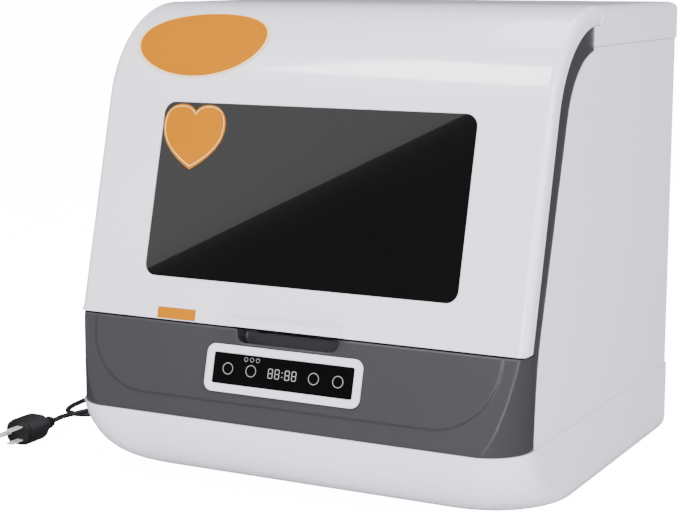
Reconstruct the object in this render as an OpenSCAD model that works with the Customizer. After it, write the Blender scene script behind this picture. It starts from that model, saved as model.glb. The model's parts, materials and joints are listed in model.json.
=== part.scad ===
// Countertop dishwasher with a flip-up lid, free standing, with its mains lead.
// Frame: X to the right, the front faces -Y, Z up, origin on the floor under the middle.

/* [Body] */
// Width over the two side panels
body_w = 430; // [405:1:455]
// Depth from the front of the base to the back of the top cover
shell_d = 406; // [390:1:430]
// Height from the floor to the top cover
total_h = 424; // [412:1:440]
// Height of the seam between the base and the panels
seam_z = 71; // [66:1:78]
// How far the base and the top cover stand out from the panels
proud = 1.5; // [0.8:0.1:2.5]
// Wall of the mouldings
wall = 2.5; // [2:0.1:3]
// Play between pieces that are only laid together
fit_gap = 0.3; // [0.2:0.05:0.4]
// Plan radius of the rear corners
rear_r = 8; // [6:0.5:12]
// Plan radius of the front corners
front_r = 40; // [34:1:46]
// Radius along the top cover's edges
cover_r = 11; // [8:0.5:13]

/* [Base] */
// Length of the chin's quarter ellipse, front to back
chin_a = 92; // [80:1:105]
// Radius of the bottom edge at the sides and the back
base_edge = 13; // [9:1:18]
// Growth of the front corners' plan radius from the seam to the bottom
corner_grow = 46; // [30:1:60]
// Height of the rubber feet
foot_h = 3; // [2:0.5:5]
// Radius of the rubber feet
foot_r = 11; // [8:0.5:14]

/* [Lid] */
// Backward lean of the front, degrees
lean = 14.7; // [13.5:0.1:16]
// Radius of the crown between the front and the top
crown_r = 110; // [100:1:120]
// Height of the lid's lower edge
lid_z = 151; // [147:1:156]
// Depth of the lid's side flanges
flange_d = 16; // [15:0.5:18]
// Radius along the lid's side edges
edge_r = 7; // [5:0.5:8]
// Gap between the lid and what is fixed round it
lid_gap = 1.5; // [1:0.1:2]
// How far the lid opens, degrees
lid_open = 80; // [60:1:82]
// Width of the window glass
win_w = 303; // [280:1:315]
// Distance from the glass's upper edge to where the face starts to bend
win_top = 4; // [2:0.5:10]
// Distance from the lid's lower edge to the glass, along the face
win_up = 37.5; // [34:0.5:40]
// Corner radius of the window
win_r = 11; // [7:0.5:14]
// Thickness of the window glass
glass_t = 4; // [3:0.5:5]
// Width of the grip along the lid's lower edge
grip_w = 104; // [90:1:120]
// Height of the grip
grip_h = 20; // [16:0.5:22]
// How far the grip stands out
grip_d = 9; // [7:0.5:11]

/* [Hinge] */
// Diameter of the hinge pins
pin_d = 6; // [5:0.5:7]
// Radial play of the pins in the hinge ears
pin_play = 0.05; // [0.02:0.01:0.08]
// Distance from the side of the body to the inner face of an ear
ear_in = 21; // [18:1:27]
// Thickness of an ear
ear_t = 6; // [5:0.5:7]

/* [Front panel] */
// Depth of the step round the pad on the front panel
pad_step = 0.8; // [0.5:0.1:1.2]
// Width of the raised pad
pad_w = 392; // [370:1:396]
// Corner radius of the pad
pad_r = 58; // [45:1:62]
// Width of the finger recess
recess_w = 98; // [88:1:112]
// Height of the finger recess
recess_h = 11; // [10:0.5:14]
// Depth of the finger recess
recess_d = 15; // [12:0.5:18]
// Width of the control bezel
bezel_w = 150; // [140:1:160]
// Height of the control bezel along the face
bezel_h = 41; // [38:0.5:44]
// Height of the middle of the bezel above the floor
bezel_z = 116; // [113:0.5:118]
// Corner radius of the bezel
bezel_r = 8; // [5:0.5:10]
// Width of the bezel's rim
bezel_rim = 7; // [5:0.5:8]
// How far the bezel stands out
bezel_out = 2; // [1.5:0.1:2.5]

/* [Tub] */
// Inner width of the tub
tub_w = 374; // [364:1:378]
// Height of the tub's floor
tub_floor = 118; // [116:1:122]
// Distance from the back of the body to the tub
tub_back = 58; // [54:1:66]
// Radius of the spray arm
arm_r = 132; // [115:1:138]
// Height of the spray arm above the tub's floor
arm_up = 20; // [18:0.5:24]
// Height of the rack's bottom above the tub's floor
rack_up = 48; // [46:1:52]
// Height of the rack's sides
rack_h = 96; // [80:1:110]
// Diameter of the rack's wires
wire_d = 4; // [3:0.25:4.5]

/* [Rear] */
// Length of the hose spigots behind the body
spigot_out = 20; // [16:1:24]
// Outer radius of the water inlet
inlet_r = 10; // [9:0.5:12]
// Outer radius of the drain spigot
drain_r = 8; // [7:0.5:9]
// Height of the hose spigots
spigot_z = 96; // [92:1:104]

/* [Mains lead] */
// Diameter of the lead
cord_d = 5; // [4:0.5:5]
// Height at which the lead leaves the base
cord_z = 42; // [36:1:46]
// Distance of the lead's exit from the middle
cord_x = 150; // [140:1:160]
// Length of the strain relief outside the base
relief_l = 30; // [24:1:30]

/* [Hidden] */
$fn = 64;
far = 600;
joint_lap = 0.1;

front_y = -(shell_d + spigot_out) / 2;
cover_back = front_y + shell_d;
panel_back = cover_back - proud;
side_x = body_w / 2;
base_x = side_x + proud;
chin_proud = 0.7;

// The leaning face and the crown that it runs into.
function face_y(z) = front_y + chin_proud + tan(lean) * (z - seam_z);
crown_z = total_h - crown_r;
crown_y = face_y(crown_z) + crown_r / cos(lean);
nose_r = flange_d / 2;
crown_end = 91.5;
hinge_y = crown_y + (crown_r - nose_r) * cos(crown_end);
hinge_z = crown_z + (crown_r - nose_r) * sin(crown_end);
tangent_z = crown_z + crown_r * sin(lean);

// Layers behind the face, measured square to it.
frame_d = flange_d + 0.5;
seal_t = 7.5;
flange_gap = 0.3;
lip_d = flange_d + flange_gap + seal_t;
open_d = lip_d + wall;

// The line where the side panel meets the front frame.
trim_in = 36.7;
trim_r = crown_r - trim_in;
trim_lean = 16.7;
trim_foot = 43.5;
trim_foot_lean = 5.1;
trim_end_y = hinge_y - nose_r;

lid_w = body_w - 0.4;
win_h = (tangent_z - lid_z) / cos(lean) - win_up - win_top;
ear_x = side_x - ear_in;
lid_side = 2.5;
pin_r = pin_d / 2;
trough_r = nose_r + 0.5;
trough_z = hinge_z - trough_r - fit_gap;
cover_h = 34;
cover_low = total_h - cover_h;
cover_front = trim_end_y;

tub_x = tub_w / 2;
tub_y1 = panel_back - tub_back;
tub_lip = lid_z + 28;
lip_y = face_y(tub_lip) + open_d / cos(lean);
tub_step = 14;
tub_y0 = lip_y + tub_step;
tub_top_a = 98;
tub_top = crown_z + (crown_r - open_d) * sin(tub_top_a);
seal_in = tub_x + 3;
seal_out = seal_in + 8;
mid_y = (tub_y0 + tub_y1) / 2;

white = [0.93, 0.93, 0.94];
grey = [0.50, 0.51, 0.54];
black = [0.06, 0.06, 0.07];
steel = [0.75, 0.76, 0.78];
orange = [0.93, 0.48, 0.12];

// ---------- helpers ----------

// Points of an arc in the side view.
function arc(cy, cz, r, a0, a1, n = 24) =
    [for (i = [0:n]) [cy + r * cos(a0 + (a1 - a0) * i / n), cz + r * sin(a0 + (a1 - a0) * i / n)]];

// Draws a side view (y, z) as a slab from x0 to x1.
module side_view(x0, x1)
    translate([x0, 0, 0]) rotate([90, 0, 90]) linear_extrude(x1 - x0) children();

module both_sides() {
    children();
    mirror([1, 0, 0]) children();
}

module rod(p, q, r) {
    d = q - p;
    len = norm(d);
    translate(p) rotate([0, acos(d.z / len), atan2(d.y, d.x)]) cylinder(r = r, h = len, $fn = 24);
}

module round_rect(w, h, r) {
    square([w - 2 * r, h], center = true);
    square([w, h - 2 * r], center = true);
    for (x = [-1, 1], y = [-1, 1])
        translate([x * (w / 2 - r), y * (h / 2 - r)]) circle(r);
}

// A rectangle across X from depth d0 to d1, with its outer corners rounded.
module section(w, d0, d1, r = 0) {
    if (r == 0) {
        translate([-w / 2, d0]) square([w, d1 - d0]);
    } else {
        translate([-w / 2 + r, d0]) square([w - 2 * r, d1 - d0]);
        translate([-w / 2, d0 + r]) square([w, d1 - d0 - r]);
        for (x = [-1, 1]) translate([x * (w / 2 - r), d0 + r]) circle(r);
    }
}

// Runs a section (x across, y inward from the face) up the face from height z0, and round the
// crown to a_end. Both runs share one frame, whose plane z = 0 is where they meet.
module face_run(z0, a_end) {
    run = (tangent_z - z0) / cos(lean);
    intersection() {
        translate([0, crown_y, crown_z]) rotate([-lean, 0, 0]) union() {
            translate([0, -crown_r, -run]) linear_extrude(run) children();
            rotate([90, 0, -90]) rotate_extrude(angle = 180 - lean - a_end, $fn = 160)
                translate([crown_r, 0]) mirror([1, 1]) children();
        }
        translate([-far / 2, -far / 2, z0]) cube([far, far, far]);
    }
}

// Puts a flat drawing on the face: x across, y up along it, z outward.
module on_face(x, z, out = 0)
    translate([x, face_y(z), z]) rotate([90 - lean, 0, 0]) translate([0, 0, out]) children();

// ---------- base ----------

base_z0 = foot_h;
chin_b = seam_z - base_z0;
base_levels = 14;
base_round_n = 9;

function base_z(i) = seam_z - chin_b * sin(90 * i / base_levels);
function chin_in(i) = chin_a * (1 - cos(90 * i / base_levels));
function edge_in(z) = z > base_z0 + base_edge ? 0
    : base_edge - sqrt(base_edge * base_edge - pow(base_z0 + base_edge - z, 2));

// One ring of the base: front and side insets, plan radii, wall taken off.
function base_ring(i, t) =
    let(z = base_z(i), e = edge_in(z) + t, y0 = front_y + chin_in(i) + t,
        x = base_x - e, y1 = cover_back - e,
        rf = front_r + corner_grow * i / base_levels - t, rr = rear_r + proud)
    concat(
        [for (k = [0:base_round_n]) let(a = 180 + 90 * k / base_round_n)
            [-x + rf + rf * cos(a), y0 + rf + rf * sin(a)]],
        [for (k = [0:base_round_n]) let(a = 270 + 90 * k / base_round_n)
            [x - rf + rf * cos(a), y0 + rf + rf * sin(a)]],
        [for (k = [0:base_round_n]) let(a = 90 * k / base_round_n)
            [x - rr + rr * cos(a), y1 - rr + rr * sin(a)]],
        [for (k = [0:base_round_n]) let(a = 90 + 90 * k / base_round_n)
            [-x + rr + rr * cos(a), y1 - rr + rr * sin(a)]]);

// A solid through rings of equal count, each at its own height.
module loft(rings, heights) {
    n = len(rings[0]);
    m = len(rings);
    points = [for (i = [0:m - 1], p = rings[i]) [p.x, p.y, heights[i]]];
    sides = [for (i = [0:m - 2], k = [0:n - 1]) let(j = (k + 1) % n)
        each [[i * n + k, i * n + j, (i + 1) * n + j], [i * n + k, (i + 1) * n + j, (i + 1) * n + k]]];
    caps = [[for (k = [n - 1:-1:0]) k], [for (k = [0:n - 1]) (m - 1) * n + k]];
    polyhedron(points, concat(sides, caps), convexity = 6);
}

module base_solid(t, lift) {
    rings = [for (i = [0:base_levels]) base_ring(i, t)];
    heights = [for (i = [0:base_levels]) i == 0 ? seam_z + (t > 0 ? 1 : 0) : max(base_z(i), base_z0 + lift)];
    loft(rings, heights);
}

base_wall = 3;
inner_levels = 12;
floor_in = base_z(inner_levels) + base_wall * inner_levels / base_levels;

module base_hollow() {
    rings = [for (i = [0:inner_levels]) base_ring(i, base_wall)];
    heights = [for (i = [0:inner_levels]) i == 0 ? seam_z + 1 : base_z(i) + base_wall * i / base_levels];
    loft(rings, heights);
}

module base_tray() color(white) {
    difference() {
        base_solid(0, 0);
        base_hollow();
        translate([-cord_x, cover_back + 1, cord_z]) rotate([90, 0, 0])
            cylinder(r = gland_neck, h = base_wall + 6, $fn = 48);
    }
}

foot_side = 65;
foot_in_x = side_x - foot_side;

module feet() color(black)
    for (x = [-1, 1], y = [front_y + chin_a + 30, cover_back - 45])
        translate([x * foot_in_x, y, 0]) {
            cylinder(r = foot_r, h = foot_h - 1);
            translate([0, 0, foot_h - 1]) cylinder(r = foot_r - 1, h = 1);
        }

// ---------- fixed shell ----------

// Boundary line between front frame and side panel, moved back by g.
trim_top_z = sqrt(pow(trim_r, 2) - pow(trim_end_y - crown_y, 2)) + crown_z;
function trim_line_y(z, g) = crown_y - (trim_r - g) / cos(trim_lean) + tan(trim_lean) * (z - crown_z);
function trim_foot_y(z, g) = front_y + trim_foot + g + tan(trim_foot_lean) * (z - seam_z);
function trim_knee_z(g) = let(k = tan(trim_lean) - tan(trim_foot_lean))
    seam_z + (trim_foot_y(seam_z, g) - trim_line_y(seam_z, g)) / k;
knee_r = 250;

function trim_edge(g) =
    let(kz = trim_knee_z(g), ky = trim_foot_y(kz, g), r = knee_r,
        half = (trim_lean - trim_foot_lean) / 2,
        cy = ky + r * cos(trim_foot_lean + half) / cos(half),
        cz = kz - r * sin(trim_foot_lean + half) / cos(half),
        end = 180 - acos((trim_end_y + g - crown_y) / -(trim_r - g)) )
    concat([[trim_foot_y(seam_z, g), seam_z]],
        arc(cy, cz, r, 180 - trim_foot_lean, 180 - trim_lean, 6),
        arc(crown_y, crown_z, trim_r - g, 180 - trim_lean, end, 20));

// Front edge of the frame's sides, under the lid's flange.
frame_z1 = lid_z - lid_gap;
function frame_front() =
    let(r = crown_r - frame_d, end = 180 - acos((trim_end_y - fit_gap - crown_y) / -r))
    concat([[face_y(frame_z1) + frame_d / cos(lean), frame_z1]],
        arc(crown_y, crown_z, r, 180 - lean, end, 24));

module frame_side_shape() {
    edge = trim_edge(0);
    front = frame_front();
    back = [for (i = [len(edge) - 1:-1:0]) edge[i]];
    polygon(concat([[face_y(seam_z) + front_r, seam_z], [face_y(seam_z) + front_r, frame_z1 - 4],
        [front[0].x, frame_z1 - 4]], front, [[trim_end_y - fit_gap, trim_top_z]], back));
}

module plan_front(t, y1) {
    r = front_r - t;
    x = side_x - t;
    y0 = front_y + chin_proud + t;
    intersection() {
        union() {
            translate([-x + r, y0]) square([2 * (x - r), far]);
            translate([-x, y0 + r]) square([2 * x, far]);
            for (s = [-1, 1]) translate([s * (x - r), y0 + r]) circle(r, $fn = 96);
        }
        translate([-far / 2, y0]) square([far, y1 - y0]);
    }
}

// Everything behind the face plane, set back by d.
module behind_face(d)
    translate([0, face_y(seam_z), seam_z]) rotate([-lean, 0, 0])
        translate([-far / 2, d, -100]) cube([far, far, far]);

module front_block(t, z0, z1) intersection() {
    translate([0, 0, z0]) linear_extrude(z1 - z0) plan_front(t, front_y + trim_foot - fit_gap);
    behind_face(pad_step + t);
}

shelf_back = face_y(frame_z1) + (lip_d - fit_gap) / cos(lean);

pad_z0 = 88;

module pad_shape() {
    h = (frame_z1 - pad_z0) / cos(lean);
    intersection() {
        translate([0, h]) round_rect(pad_w, 2 * h, pad_r);
        translate([-pad_w / 2, -h]) square([pad_w, 2 * h]);
    }
}

recess_z0 = frame_z1 - recess_h;

module recess_shape(grow, up) {
    r = 8;
    h = recess_h + grow + up;
    translate([0, -grow]) {
        translate([-recess_w / 2 - grow + r, 0]) square([recess_w + 2 * grow - 2 * r, h]);
        translate([-recess_w / 2 - grow, r]) square([recess_w + 2 * grow, h - r]);
        for (s = [-1, 1]) translate([s * (recess_w / 2 + grow - r), r]) circle(r);
    }
}

module frame_arm(x0) {
    // outer cheek and front strip of one arm
    side_view(side_x - 0.5 - wall, side_x - 0.5) frame_side_shape();
    intersection() {
        face_run(frame_z1 - wall, 98)
            translate([x0, frame_d + fit_gap]) square([side_x - 0.5 - wall / 2 - x0, wall]);
        translate([0, -far + trim_end_y - fit_gap, 0]) cube([far, far, far]);
    }
}

module front_frame() color(grey) difference() {
    union() {
        difference() {
            front_block(0, seam_z, frame_z1);
            front_block(wall, seam_z - 1, frame_z1 - wall);
            // open at the back, behind the corner
            translate([-side_x + wall, front_y + trim_foot - 4, seam_z - 1])
                cube([body_w - 2 * wall, 8, frame_z1 - wall - seam_z + 1]);
        }
        intersection() {
            on_face(0, pad_z0) translate([0, 0, -pad_step - wall]) linear_extrude(pad_step + wall)
                pad_shape();
            translate([-far / 2, -far / 2, seam_z]) cube([far, far, frame_z1 - seam_z]);
        }
        // shelf from the face to the tub's lip
        intersection() {
            side_view(-side_x + 6, side_x - 6) polygon([
                [face_y(frame_z1) + 3, frame_z1 - wall],
                [shelf_back - wall * tan(lean), frame_z1 - wall],
                [shelf_back, frame_z1], [face_y(frame_z1) + 3, frame_z1]]);
            behind_face(pad_step);
        }
        both_sides() frame_arm(seal_out + 1);
        // walls of the finger recess
        intersection() {
            on_face(0, recess_z0) translate([0, 0, -recess_d - wall]) linear_extrude(recess_d + wall - 1)
                recess_shape(wall, 0);
            translate([-far / 2, -far / 2, seam_z]) cube([far, far, frame_z1 - seam_z]);
        }
    }
    on_face(0, recess_z0) translate([0, 0, -recess_d]) linear_extrude(recess_d + 5) recess_shape(0, 8);
    on_face(0, bezel_z) translate([0, 0, -20]) linear_extrude(30)
        round_rect(bezel_w - 4, bezel_h - 4, bezel_r - 2);
}

module side_panel() color(white) {
    edge = trim_edge(fit_gap);
    top = cover_low - fit_gap;
    intersection() {
        side_view(side_x - 30, side_x) polygon(concat(edge,
            [[trim_end_y + fit_gap, top], [far, top], [far, seam_z]]));
        difference() {
            translate([0, -far / 2, 0]) panel_plan(0, far);
            translate([0, -far / 2, -1]) panel_plan(wall, far + 2);
        }
    }
}

panel_return = 14;

// Plan of the panels: straight side, round rear corner, short return.
module panel_plan(t, h) {
    r = rear_r - t;
    y1 = panel_back - t + far / 2;
    x0 = side_x - (t > 0 ? 2 * panel_return : panel_return);
    linear_extrude(h) {
        translate([x0, -1]) square([side_x - t - r - x0, y1 + 1]);
        translate([side_x - t - r - joint_lap, -1]) square([r + joint_lap, y1 + 1 - r]);
        translate([side_x - t - r, y1 - r]) circle(r);
    }
}

module side_panel_right() side_panel();
module side_panel_left() mirror([1, 0, 0]) side_panel();

rear_x = side_x - panel_return - fit_gap;
vent_w = 60;
vent_x = side_x - 105;
vent_z = cover_low - 90;

module rear_panel() color(white) difference() {
    translate([-rear_x, panel_back - wall, seam_z]) cube([2 * rear_x, wall, cover_low - fit_gap - seam_z]);
    for (s = [-1, 1], k = [0:9])
        translate([s * vent_x - vent_w / 2, panel_back - wall - 1, vent_z + 7 * k])
            cube([vent_w, wall + 2, 3.5]);
    translate([inlet_x, panel_back + 1, spigot_z]) rotate([90, 0, 0])
        cylinder(r = inlet_r + collar + fit_gap, h = wall + 2);
    translate([drain_x, panel_back + 1, spigot_z]) rotate([90, 0, 0])
        cylinder(r = drain_r + collar + fit_gap, h = wall + 2);
}

module rear_screws() color(steel)
    for (x = [-1, 1], z = [seam_z + 12, (seam_z + cover_low) / 2, cover_low - 16])
        translate([x * (rear_x - 9), panel_back, z]) rotate([-90, 0, 0])
            cylinder(r = 3.5, h = proud - 0.2, $fn = 32);

// Top cover: rounded along its three free edges, with the hinge trough in front.
module cover_block(t, z0) {
    z1 = total_h - t;
    x = base_x - t;
    y1 = cover_back - t;
    r = cover_r - t;
    y0 = cover_front - 1;
    intersection() {
        translate([0, y0, 0]) rotate([-90, 0, 0]) linear_extrude(y1 - y0) mirror([0, 1]) {
            translate([-x, z0]) square([2 * x, z1 - z0 - r]);
            translate([-x + r, z0]) square([2 * (x - r), z1 - z0]);
            for (s = [-1, 1]) translate([s * (x - r), z1 - r]) circle(r);
        }
        side_view(-x, x) {
            translate([y0, z0]) square([y1 - y0 - r, z1 - z0]);
            translate([y0, z0]) square([y1 - y0, z1 - z0 - r]);
            translate([y1 - r, z1 - r]) circle(r);
        }
        translate([0, 0, z0]) linear_extrude(z1 - z0) {
            rc = rear_r + proud - t;
            translate([-x, y0]) square([2 * x, y1 - y0 - rc]);
            translate([-x + rc, y0]) square([2 * (x - rc), y1 - y0]);
            for (s = [-1, 1]) translate([s * (x - rc), y1 - rc]) circle(rc);
        }
    }
}

ear_slot_w = ear_t + 2;

module top_cover() color(white) difference() {
    cover_block(0, cover_low);
    difference() {
        cover_block(wall, cover_low - 1);
        side_view(-base_x, base_x) polygon([[cover_front - 2, 0], [cover_front + wall, 0],
            [cover_front + wall, trough_z - wall], [hinge_y + trough_r + wall, trough_z - wall],
            [hinge_y + trough_r + wall, total_h + 1], [cover_front - 2, total_h + 1]]);
    }
    // room for the lid's nose and flanges
    translate([-far / 2, hinge_y, hinge_z]) rotate([0, 90, 0]) cylinder(r = trough_r, h = far, $fn = 96);
    translate([-far / 2, hinge_y - far, trough_z]) cube([far, far, far]);
    translate([-far / 2, hinge_y, hinge_z]) cube([far, trough_r, far]);
    translate([-far / 2, cover_front - far, 0]) cube([far, far, far]);
    // the front wall stops above the tub
    translate([-side_x + wall, cover_front - 1, 0]) cube([body_w - 2 * wall, wall + 2, tub_top + fit_gap]);
    for (s = [-1, 1]) translate([s * (ear_x + ear_t / 2) - ear_slot_w / 2, hinge_y - 5, cover_low])
        cube([ear_slot_w, 10, trough_z - cover_low + 1]);
}

// ---------- tub ----------

// Side view of the tub: its outside for t = 0, or its hollow, which runs out through the mouth.
module tub_outline(t) {
    bottom = t > 0 ? tub_floor : tub_floor - wall;
    out = 20;
    mouth = t > 0
        ? [[lip_y - out, tub_lip], [lip_y - out, tub_top + out], [tub_front_end, tub_top + out]]
        : concat([[lip_y, tub_lip - wall]], arc(crown_y, crown_z, crown_r - open_d, 180 - lean, tub_top_a));
    polygon(concat([[tub_y0 + t, bottom], [tub_y0 + t, t > 0 ? tub_lip : tub_lip - wall]], mouth,
        [[tub_front_end, tub_top - t], [tub_y1 - t, tub_top - t], [tub_y1 - t, bottom]]));
}

tub_front_end = crown_y + (crown_r - open_d) * cos(tub_top_a);
mouth_a = 106.5;
seal_z0 = lid_z + 18;
seal_w = 8;
seal_a0 = 100;
seal_a1 = 105.5;

module tub() color(steel) difference() {
    union() {
        difference() {
            side_view(-tub_x - wall, tub_x + wall) tub_outline(0);
            side_view(-tub_x, tub_x) tub_outline(wall);
        }
        // lip that carries the seal
        difference() {
            face_run(frame_z1 - wall, tub_top_a + 0.3) section(2 * seal_out, lip_d, open_d);
            face_run(tub_lip, mouth_a) section(tub_w, lip_d - 1, open_d + 1);
        }
    }
    catch_slot(-lip_d + 1, 6);
    translate([0, mid_y, tub_floor - wall - 1]) cylinder(r = sump_r, h = wall + 2);
    translate([float_x, float_y, tub_floor - wall - 1]) cylinder(r = float_hole, h = wall + 2);
}

module tub_seal() color(black) difference() {
    face_run(seal_z0, seal_a0) section(2 * seal_out, flange_d + flange_gap, lip_d, 3);
    face_run(seal_z0 + seal_w, seal_a1) section(2 * seal_in, flange_d - 1, lip_d + 1);
}

// ---------- hinge ----------

bracket_t = 3;
bracket_l = 46;

module hinge_brackets() color(steel) both_sides() difference() {
    union() {
        translate([ear_x - 22, hinge_y - 5, tub_top]) cube([22 + ear_t, bracket_l, bracket_t]);
        translate([ear_x, hinge_y - 4.5, tub_top]) cube([ear_t, 9, trough_z - 1 - tub_top]);
        translate([ear_x, hinge_y - 3, tub_top]) cube([ear_t, 6, hinge_z - tub_top]);
        translate([ear_x, hinge_y, hinge_z]) rotate([0, 90, 0]) cylinder(r = 5, h = ear_t);
    }
    translate([ear_x - 1, hinge_y, hinge_z]) rotate([0, 90, 0]) cylinder(r = pin_r + pin_play, h = ear_t + 2);
    for (y = [14, 32]) translate([ear_x - 11, hinge_y + y, tub_top - 1]) cylinder(r = 2.1, h = bracket_t + 2);
}

module hinge_screws() color(steel)
    for (s = [-1, 1], y = [14, 32]) translate([s * (ear_x - 11), hinge_y + y, tub_top + bracket_t]) {
        cylinder(r = 3.8, h = 2);
    }

// ---------- lid ----------

boss_in = ear_x + ear_t + 1;
boss_r = nose_r - wall / 2;

module lid_section(depth) difference() {
    section(lid_w, 0, depth, edge_r);
    translate([0, wall]) section(lid_w - 2 * lid_side, 0, depth, edge_r - lid_side);
}

module nose_run()
    translate([0, hinge_y, hinge_z]) rotate([90, 0, 90]) rotate([0, 0, crown_end - 180])
        rotate_extrude(angle = 180, $fn = 96) translate([nose_r, 0]) rotate(90) intersection() {
            children();
            translate([-far / 2, 0]) square([far, nose_r]);
        }

module face_slab(z0, z1) intersection() {
    face_run(z0, crown_end) children();
    translate([-far / 2, -far / 2, z0]) cube([far, far, z1 - z0]);
}

win_mid = lid_z + (win_up + win_h / 2) * cos(lean);

module grip_block(t) {
    // rounded wedge under a round-cornered outline
    intersection() {
        on_face(0, lid_z) translate([0, 0, -1]) linear_extrude(grip_d + 2) intersection() {
            round_rect(grip_w - 2 * t, 2 * (grip_h - t), 14 - t);
            translate([-far / 2, 0]) square([far, far]);
        }
        on_face(0, lid_z) rotate([0, 90, 0]) rotate([0, 0, 90]) translate([0, 0, -grip_w / 2])
            linear_extrude(grip_w) grip_profile(t);
        translate([-far / 2, -far / 2, lid_z]) cube([far, far, far]);
    }
}

// Side view of the grip: y up the face, x outward. A wedge whose upper edge is rounded.
grip_top = 5;

module grip_profile(t) {
    out = grip_d - t;
    r = grip_top - t;
    top = grip_h - t;
    polygon(concat([[-1, -6], [out - 1, -6], [out, -5], [out, 1], [out - 0.6, 2.5]],
        [for (a = [15:15:90]) [r * cos(a), top - r + r * sin(a)]], [[-1, top]]));
}

module lid_shell() color(white) difference() {
    union() {
        face_run(lid_z, crown_end) lid_section(flange_d);
        nose_run() lid_section(nose_r);
        face_slab(lid_z, lid_z + wall) section(lid_w - 2, wall / 2, flange_d);
        // rim that holds the glass
        on_face(0, win_mid) translate([0, 0, -glass_seat - 2]) linear_extrude(glass_seat + 2)
            round_rect(win_w + 6, win_h + 6, win_r + 3);
        both_sides() translate([boss_in, hinge_y, hinge_z]) rotate([0, 90, 0])
            cylinder(r = boss_r, h = lid_w / 2 - 1 - boss_in);
        grip_block(0);
    }
    grip_hollow();
    on_face(0, win_mid) translate([0, 0, -glass_seat]) linear_extrude(glass_seat + 5)
        round_rect(win_w, win_h, win_r);
    on_face(0, win_mid) translate([0, 0, -glass_seat - 5]) linear_extrude(20)
        round_rect(win_w - 10, win_h - 10, win_r - 3);
    both_sides() {
        translate([ear_x - 1, hinge_y, hinge_z]) rotate([0, 90, 0])
            cylinder(r = pin_r, h = lid_w / 2 - 4 - ear_x);
        ear_way();
    }
}

glass_seat = glass_t + 0.6;

module grip_hollow()
    intersection() {
        translate([0, 0, -2]) grip_block(2);
        translate([-far / 2, -far / 2, lid_z - 5]) cube([far, far, far]);
    }

// Slot in the nose that lets the ears stand while the lid turns round them.
module ear_way()
    translate([ear_x - 1, hinge_y, hinge_z]) rotate([90, 0, 90]) rotate([0, 0, -116])
        rotate_extrude(angle = lid_open + 70, $fn = 96) square([nose_r + 1, ear_t + 2]);

liner_end = crown_end + 8;

module lid_liner() color(white) difference() {
    face_run(lid_z + wall, liner_end) section(lid_w - 2 * lid_side - 2 * fit_gap, flange_d - wall, flange_d);
    on_face(0, win_mid) translate([0, 0, -flange_d - 5]) linear_extrude(12)
        round_rect(win_w - 14, win_h - 14, win_r - 3);
}

module window_glass() color(black)
    on_face(0, win_mid) translate([0, 0, -glass_seat]) linear_extrude(glass_t)
        round_rect(win_w - 2 * fit_gap, win_h - 2 * fit_gap, win_r - fit_gap);

module inner_window() color([0.2, 0.2, 0.22])
    on_face(0, win_mid) translate([0, 0, -flange_d + wall]) linear_extrude(3)
        round_rect(win_w - 2, win_h - 2, win_r);

module hinge_pins() color(steel) both_sides()
    translate([ear_x - 1, hinge_y, hinge_z]) rotate([0, 90, 0])
        cylinder(r = pin_r, h = lid_w / 2 - 4 - ear_x);

// Latch: a tongue on the liner that enters a catch behind the tub's lip.
tongue_w = 16;
tongue_up = 6;
tongue_t = 3;
tongue_l = 16;
catch_w = 30;
catch_h = 17;
catch_d = 12;

module latch_tongue() color(black) on_face(0, lid_z) {
    translate([-tongue_w / 2, tongue_up, -flange_d - tongue_l]) cube([tongue_w, tongue_t, tongue_l]);
    translate([-tongue_w / 2 - 5, tongue_up - 2, -flange_d - 2]) cube([tongue_w + 10, tongue_t + 6, 2]);
}

// The way for the tongue, from depth z0 inward by l.
module catch_slot(z0, l) on_face(0, lid_z)
    translate([-tongue_w / 2 - 2, tongue_up - 2, z0 - l]) cube([tongue_w + 4, 11, l]);

module latch_catch() color(black) difference() {
    on_face(0, lid_z) translate([-catch_w / 2, tongue_up - 5, -open_d - catch_d])
        cube([catch_w, catch_h, catch_d]);
    catch_slot(-open_d + 1, catch_d - 1);
}

// Plain orange labels where the product carries its own: an oval, a heart and a slip.
label_t = 0.4;
oval_x = -side_x + 85;
oval_a = 68;
oval_b = 40;
heart_x = -win_w / 2 + 33.5;
slip_x = -side_x + 103;

module oval_2d(a, b) polygon([for (i = [0:47]) [a * cos(7.5 * i), b * sin(7.5 * i)]]);

module heart_2d(w) {
    r = w / 4;
    translate([-r, 0]) circle(r);
    translate([r, 0]) circle(r);
    polygon([[-2 * r * cos(20), -r * 0.5], [-1.9 * r, 0], [0, r * 0.35], [1.9 * r, 0],
        [2 * r * cos(20), -r * 0.5], [r * 1.2, -r * 1.7], [0, -r * 2.6], [-r * 1.2, -r * 1.7]]);
}

module lid_labels() color(orange) {
    // the oval lies over the bend, cut from a thin skin of the crown
    intersection() {
        crown_skin(0, label_t);
        translate([oval_x, oval_y, oval_z]) rotate([90 - oval_tilt, 0, 0]) translate([0, 0, -60])
            linear_extrude(120) oval_2d(oval_a, oval_b);
    }
    on_face(heart_x, heart_z) translate([0, 0, -glass_seat + glass_t]) linear_extrude(label_t) heart_2d(60);
    on_face(slip_x, lid_z + 5.6) linear_extrude(label_t) square([39, 10], center = true);
}

heart_z = lid_z + (win_up + win_h - 18) * cos(lean);
oval_tilt = 45;
oval_y = crown_y - crown_r * cos(oval_tilt);
oval_z = crown_z + crown_r * sin(oval_tilt);

module crown_skin(d0, d1) face_run(tangent_z - 40, 100)
    translate([-lid_w / 2 + edge_r, -d1]) square([lid_w - 2 * edge_r, d1 - d0]);

// ---------- control panel ----------

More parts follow.
